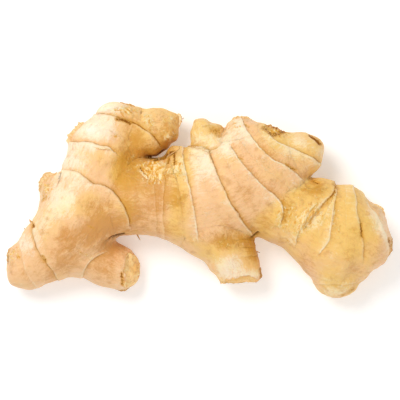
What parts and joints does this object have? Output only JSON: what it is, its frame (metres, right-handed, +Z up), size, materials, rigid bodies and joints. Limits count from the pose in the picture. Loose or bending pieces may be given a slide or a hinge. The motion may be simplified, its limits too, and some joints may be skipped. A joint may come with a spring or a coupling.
{
  "type": "ginger root",
  "caption": "Fresh ginger root: a flat, branching hand of knobbly knuckles and fingers with ringed, papery skin and snapped finger ends.",
  "frame": {"origin": "under the middle of the hand, on the table it lies on", "axes": "+X along the hand from the slender left knuckle to the stout right one, +Y to the side with the bud and the back fingers, +Z up from the table"},
  "size_m": [0.1508, 0.0766, 0.0301],
  "materials": {
    "ginger_skin": "satin"
  },
  "bodies": {
    "root": {"ginger_root": "ginger_skin"}
  },
  "joints": []
}
